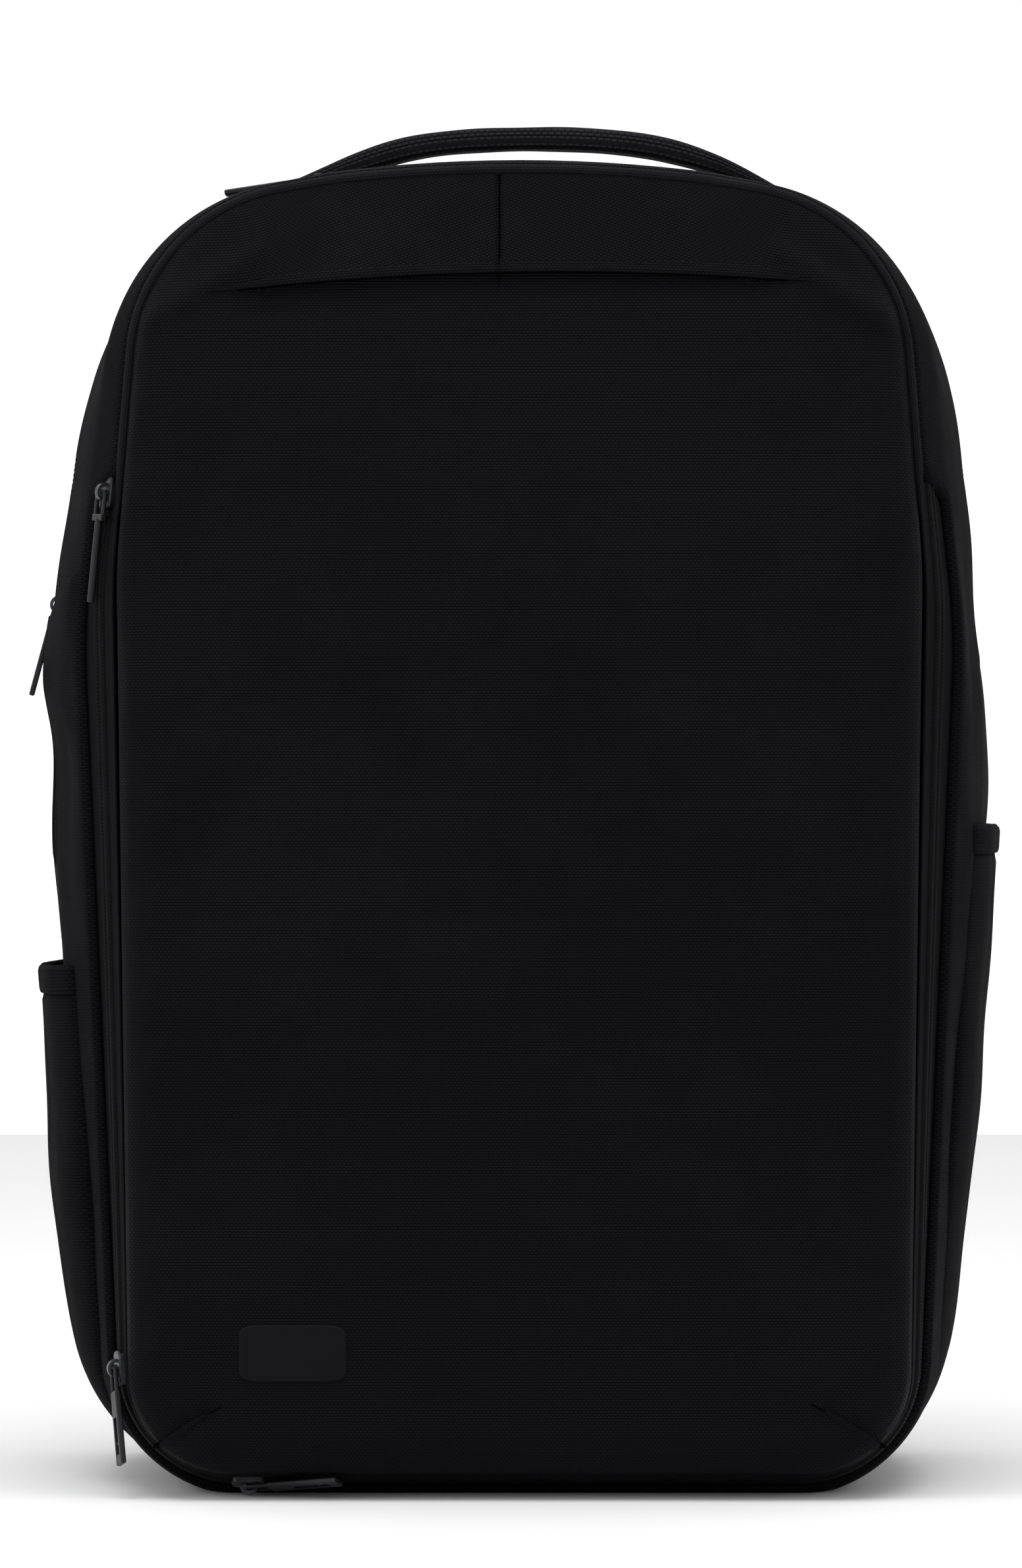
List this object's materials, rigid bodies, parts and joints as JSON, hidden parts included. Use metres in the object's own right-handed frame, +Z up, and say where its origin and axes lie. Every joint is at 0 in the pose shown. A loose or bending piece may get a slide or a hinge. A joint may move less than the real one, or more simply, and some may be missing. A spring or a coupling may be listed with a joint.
{
  "type": "travel backpack",
  "caption": "Boxy padded travel backpack with an opening front flap, coil zippers with sliding sliders, bottle pockets, laptop divider, trolley sleeve and padded straps.",
  "frame": {"origin": "on the ground under the middle of the bag", "axes": "+Z up, +X to the right of someone facing the front panel, the front panel faces -Y"},
  "size_m": [0.3546, 0.2045, 0.488],
  "materials": {
    "shell_fabric": "coarse ribbed nylon weave, near-black",
    "panel_fabric": "heavy basket-weave nylon, near-black",
    "lining": "plain-weave lining",
    "mesh_fabric": "padded spacer mesh",
    "webbing": "coarse polyester webbing",
    "zip_tape": "herringbone zip tape",
    "zip_coil": "nylon coil",
    "zip_metal": "satin gunmetal",
    "pull_metal": "matt charcoal lacquer",
    "patch_rubber": "matt moulded rubber",
    "buckle_plastic": "fine-textured acetal",
    "stiffener": "sheet polyethylene"
  },
  "bodies": {
    "root": {"back_pad_left": "mesh_fabric", "back_pad_lumbar": "mesh_fabric", "back_pad_right": "mesh_fabric", "back_panel": "shell_fabric", "base_board": "stiffener", "bottle_pocket_left": "shell_fabric", "bottle_pocket_right": "shell_fabric", "frame_sheet": "stiffener", "front_band": "shell_fabric", "front_piping": "webbing", "front_upper_panel": "panel_fabric", "front_yoke_left": "panel_fabric", "front_yoke_right": "panel_fabric", "front_zip_coil": "zip_coil", "front_zip_tape": "zip_tape", "handle_anchor_left": "webbing", "handle_anchor_right": "webbing", "harness_yoke": "shell_fabric", "laptop_divider": "lining", "main_gusset": "shell_fabric", "main_zip_coil": "zip_coil", "main_zip_tape": "zip_tape", "pocket_hem_left": "webbing", "pocket_hem_right": "webbing", "strap_webbing_left": "webbing", "strap_webbing_right": "webbing", "strap_wing_left": "shell_fabric", "strap_wing_right": "shell_fabric", "top_handle": "webbing", "trolley_sleeve": "shell_fabric"},
    "flap": {"front_flap": "panel_fabric", "flap_zip_tape": "zip_tape", "flap_zip_coil": "zip_coil", "flap_pocket": "lining", "badge_patch": "patch_rubber"},
    "slider_upper": {"slider_upper": "zip_metal"},
    "pull_upper": {"pull_upper": "pull_metal"},
    "slider_corner": {"slider_corner": "zip_metal"},
    "pull_corner": {"pull_corner": "pull_metal"},
    "slider_bottom": {"slider_bottom": "zip_metal"},
    "pull_bottom": {"pull_bottom": "pull_metal"},
    "slider_side": {"slider_side": "zip_metal"},
    "pull_side": {"pull_side": "pull_metal"},
    "slider_top": {"slider_top": "zip_metal"},
    "pull_top": {"pull_top": "pull_metal"},
    "strap_left": {"shoulder_strap_left": "shell_fabric", "strap_rail_left": "webbing"},
    "chest_left": {"chest_clip_left": "buckle_plastic", "chest_webbing_left": "webbing", "chest_buckle_left": "buckle_plastic"},
    "lock_left": {"ladder_lock_left": "buckle_plastic"},
    "strap_right": {"shoulder_strap_right": "shell_fabric", "strap_rail_right": "webbing"},
    "chest_right": {"chest_clip_right": "buckle_plastic", "chest_webbing_right": "webbing", "chest_buckle_right": "buckle_plastic"},
    "lock_right": {"ladder_lock_right": "buckle_plastic"}
  },
  "joints": [
    {"name": "flap_hinge", "type": "hinge", "parent": "root", "child": "flap", "pos_m": [0, -0.0995, 0.343], "axis": [-1, 0, 0], "range_deg": [0, 95]},
    {"name": "slider_upper_slide", "type": "slide", "parent": "root", "child": "slider_upper", "axis": [-0.0991, 0, -0.9951], "range_m": [0, 0.1]},
    {"name": "slider_corner_slide", "type": "slide", "parent": "root", "child": "slider_corner", "axis": [-0.0307, 0, 0.9995], "range_m": [0, 0.05]},
    {"name": "slider_bottom_slide", "type": "slide", "parent": "root", "child": "slider_bottom", "axis": [1, 0, 0], "range_m": [0, 0.18]},
    {"name": "slider_side_slide", "type": "slide", "parent": "root", "child": "slider_side", "axis": [-0.1409, 0, -0.99], "range_m": [0, 0.07]},
    {"name": "slider_top_travel", "type": "hinge", "parent": "root", "child": "slider_top", "pos_m": [0, -0.021, -0.01012], "axis": [0, 1, 0], "range_deg": [0, 15]},
    {"name": "pull_upper_swing", "type": "hinge", "parent": "slider_upper", "child": "pull_upper", "pos_m": [-0.14656, -0.07999, 0.35235], "axis": [-0.4822, 0.8747, 0.048], "range_deg": [0, 120]},
    {"name": "pull_corner_swing", "type": "hinge", "parent": "slider_corner", "child": "pull_corner", "pos_m": [-0.14254, -0.07916, 0.04488], "axis": [-0.2673, 0.9306, -0.2502], "range_deg": [0, 120]},
    {"name": "pull_bottom_swing", "type": "hinge", "parent": "slider_bottom", "child": "pull_bottom", "pos_m": [-0.095, -0.07924, 0.00283], "axis": [0, 0.3035, 0.9528], "range_deg": [0, 35]},
    {"name": "pull_side_swing", "type": "hinge", "parent": "slider_side", "child": "pull_side", "pos_m": [-0.16684, -0.02132, 0.31458], "axis": [-0.0766, 0.997, 0.0109], "range_deg": [0, 110]},
    {"name": "pull_top_swing", "type": "hinge", "parent": "slider_top", "child": "pull_top", "pos_m": [-0.07247, -0.021, 0.46761], "axis": [0, 1, 0], "range_deg": [0, 120]},
    {"name": "strap_left_lift", "type": "hinge", "parent": "root", "child": "strap_left", "pos_m": [-0.048, 0.092, 0.439], "axis": [1, 0, 0], "range_deg": [0, 40]},
    {"name": "chest_left_slide", "type": "slide", "parent": "strap_left", "child": "chest_left", "axis": [-0.2045, 0, -0.9789], "range_m": [0, 0.05]},
    {"name": "lock_left_tilt", "type": "hinge", "parent": "strap_left", "child": "lock_left", "pos_m": [-0.1005, 0.091, 0.2], "axis": [1, 0, 0], "range_deg": [0, 35]},
    {"name": "strap_right_lift", "type": "hinge", "parent": "root", "child": "strap_right", "pos_m": [0.048, 0.092, 0.439], "axis": [1, 0, 0], "range_deg": [0, 40]},
    {"name": "chest_right_slide", "type": "slide", "parent": "strap_right", "child": "chest_right", "axis": [0.2045, 0, -0.9789], "range_m": [0, 0.05]},
    {"name": "lock_right_tilt", "type": "hinge", "parent": "strap_right", "child": "lock_right", "pos_m": [0.1005, 0.091, 0.2], "axis": [1, 0, 0], "range_deg": [0, 35]}
  ]
}
